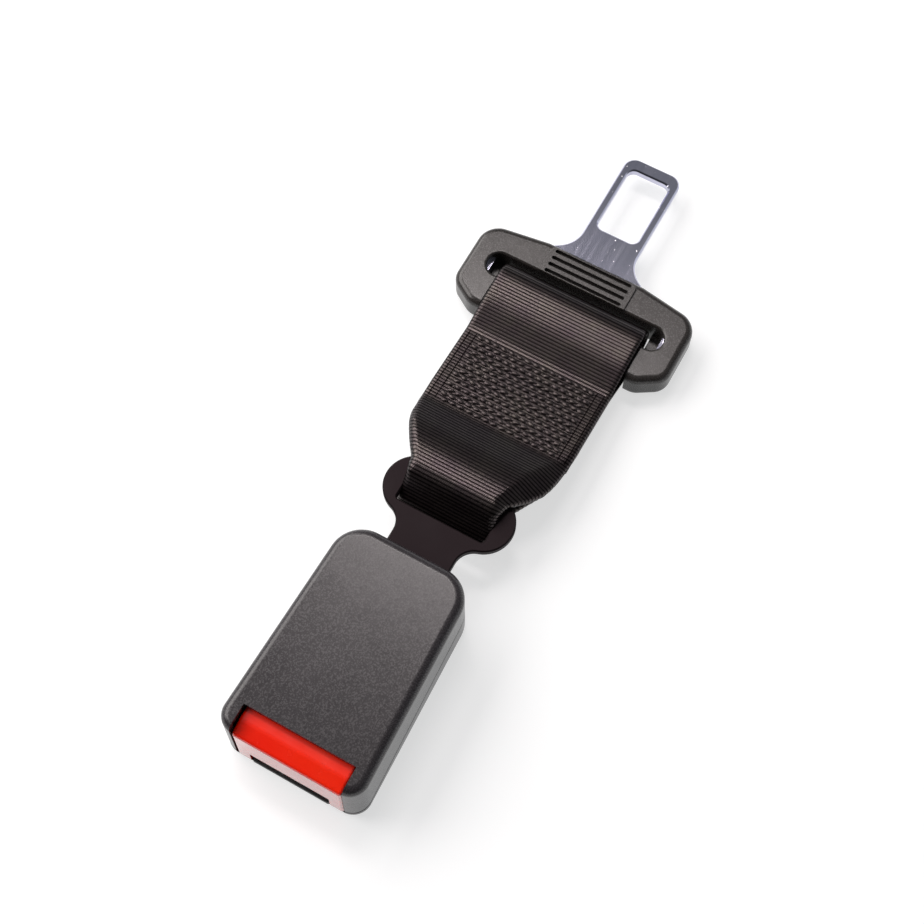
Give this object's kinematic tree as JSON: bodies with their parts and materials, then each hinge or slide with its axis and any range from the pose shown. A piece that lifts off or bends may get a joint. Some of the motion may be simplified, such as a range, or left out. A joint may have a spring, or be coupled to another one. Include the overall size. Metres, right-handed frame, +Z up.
{
  "type": "seat belt extender",
  "caption": "Short seat belt extension: push-button buckle, sewn webbing loop and latch tongue with a ribbed grip cover.",
  "frame": {"origin": "middle of the part's footprint, on the surface it lies on", "axes": "+X along the strap from the buckle to the tongue's tip, +Z up out of the buckle's top face"},
  "size_m": [0.2196, 0.072, 0.025],
  "materials": {
    "cover_plastic": "fine moulded grain, dark grey",
    "guide_plastic": "plain black",
    "button_red": "glossy signal red",
    "ejector_plastic": "natural white",
    "zinc_steel": "zinc plated",
    "spring_steel": "drawn wire",
    "black_steel": "satin black paint",
    "webbing_polyester": "ribbed woven black",
    "stitch_thread": "bonded black thread",
    "tongue_chrome": "polished plating",
    "tongue_plastic": "fine moulded grain, dark grey"
  },
  "bodies": {
    "buckle": {"lower_cover": "cover_plastic", "upper_cover": "cover_plastic", "buckle_frame": "zinc_steel", "anchor_plate": "black_steel", "frame_rivets": "zinc_steel", "mouth_guide": "guide_plastic", "latch_pin": "zinc_steel", "ejector_stop": "guide_plastic", "button_spring_left": "spring_steel", "button_spring_right": "spring_steel", "ejector_spring": "spring_steel"},
    "button": {"release_button": "button_red"},
    "ejector": {"ejector": "ejector_plastic"},
    "latch": {"latch": "zinc_steel", "latch_spring": "spring_steel"},
    "lock_bar": {"lock_bar": "zinc_steel"},
    "strap": {"webbing": "webbing_polyester", "stitching": "stitch_thread"},
    "tongue": {"tongue_plate": "tongue_chrome", "tongue_cover": "tongue_plastic"}
  },
  "joints": [
    {"name": "button_press", "type": "slide", "parent": "buckle", "child": "button", "axis": [1, 0, 0], "range_m": [0, 0.006], "stiffness_N_per_m": 600, "springref_m": -0.004, "deforming": ["button_spring_left", "button_spring_right"]},
    {"name": "ejector_slide", "type": "slide", "parent": "buckle", "child": "ejector", "axis": [1, 0, 0], "range_m": [0, 0.01], "stiffness_N_per_m": 400, "springref_m": -0.004, "deforming": ["ejector_spring"]},
    {"name": "latch_pivot", "type": "hinge", "parent": "buckle", "child": "latch", "pos_m": [-0.05864, 0, 0.0124], "axis": [0, 1, 0], "range_deg": [-10.8, 0]},
    {"name": "lock_bar_slide", "type": "slide", "parent": "buckle", "child": "lock_bar", "axis": [-0.6727, 0, -0.7399], "range_m": [0, 0.00595]},
    {"name": "anchor_swing", "type": "hinge", "parent": "buckle", "child": "strap", "pos_m": [-0.01666, 0, 0.013], "axis": [0, 1, 0], "range_deg": [-80, 80]},
    {"name": "tongue_swing", "type": "hinge", "parent": "strap", "child": "tongue", "pos_m": [0.04584, 0, 0.0062], "axis": [0, 1, 0], "range_deg": [-80, 80]}
  ],
  "couplings": [
    {"joint": "latch_pivot", "follows": "ejector_slide", "rad_per_m": -18.7},
    {"joint": "lock_bar_slide", "follows": "ejector_slide", "ratio": 0.59464}
  ]
}
